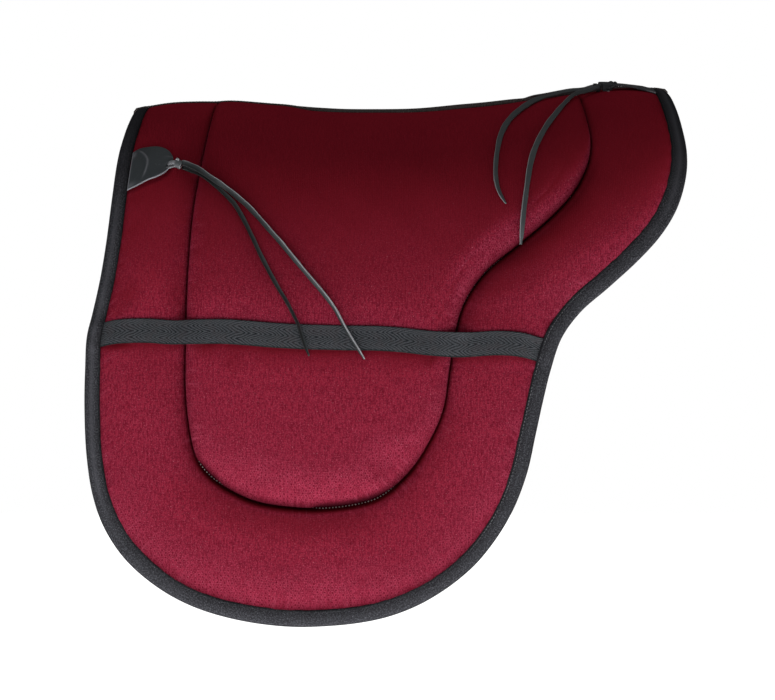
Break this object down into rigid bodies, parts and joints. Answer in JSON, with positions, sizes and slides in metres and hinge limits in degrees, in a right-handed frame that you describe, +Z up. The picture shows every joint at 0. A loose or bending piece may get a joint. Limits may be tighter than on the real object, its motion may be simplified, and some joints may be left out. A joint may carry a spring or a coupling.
{
  "type": "saddle pad",
  "caption": "Draped, padded saddle pad with perforated cover, raised inserts, bound edge, girth keeper straps and leather tie patches with laces.",
  "frame": {"origin": "underside of the tape under the spine, at the lowest dip of the spine, on the centre line", "axes": "+Z up, X along the spine with the front (withers) at -X and the rear (loin) at +X, left (near) half at -Y, right half at +Y"},
  "size_m": [0.6345, 0.5544, 0.549],
  "materials": {
    "air_mesh_cover": "matte",
    "core_foam": "matte",
    "insert_foam": "matte",
    "neoprene_lining": "matte",
    "binding_tape": "matte",
    "webbing": "matte",
    "leather": "satin",
    "lace_leather": "satin"
  },
  "bodies": {
    "spine": {"spine_gusset": "neoprene_lining", "spine_tape_top": "binding_tape", "spine_tape_under": "binding_tape"},
    "left_half": {"left_cover": "air_mesh_cover", "left_foam_core": "core_foam", "left_foam_insert": "insert_foam", "left_lining": "neoprene_lining", "left_binding": "binding_tape", "left_girth_strap": "webbing", "left_front_patch": "leather", "left_rear_patch": "leather", "left_front_knot": "lace_leather", "left_rear_knot": "lace_leather", "left_front_lace_a": "lace_leather", "left_front_lace_b": "lace_leather", "left_rear_lace_a": "lace_leather", "left_rear_lace_b": "lace_leather"},
    "right_half": {"right_cover": "air_mesh_cover", "right_foam_core": "core_foam", "right_foam_insert": "insert_foam", "right_lining": "neoprene_lining", "right_binding": "binding_tape", "right_girth_strap": "webbing", "right_front_patch": "leather", "right_rear_patch": "leather", "right_front_knot": "lace_leather", "right_rear_knot": "lace_leather", "right_front_lace_a": "lace_leather", "right_front_lace_b": "lace_leather", "right_rear_lace_a": "lace_leather", "right_rear_lace_b": "lace_leather"}
  },
  "joints": [
    {"name": "left_fold", "type": "hinge", "parent": "spine", "child": "left_half", "pos_m": [0, -0.0155, 0.028], "axis": [-0.9988, 0, -0.0499], "range_deg": [-20, 62], "stiffness_Nm_per_rad": 3, "springref_deg": 14.07},
    {"name": "right_fold", "type": "hinge", "parent": "spine", "child": "right_half", "pos_m": [0, 0.0155, 0.028], "axis": [0.9988, 0, 0.0499], "range_deg": [-20, 62], "stiffness_Nm_per_rad": 3, "springref_deg": 14.07}
  ]
}
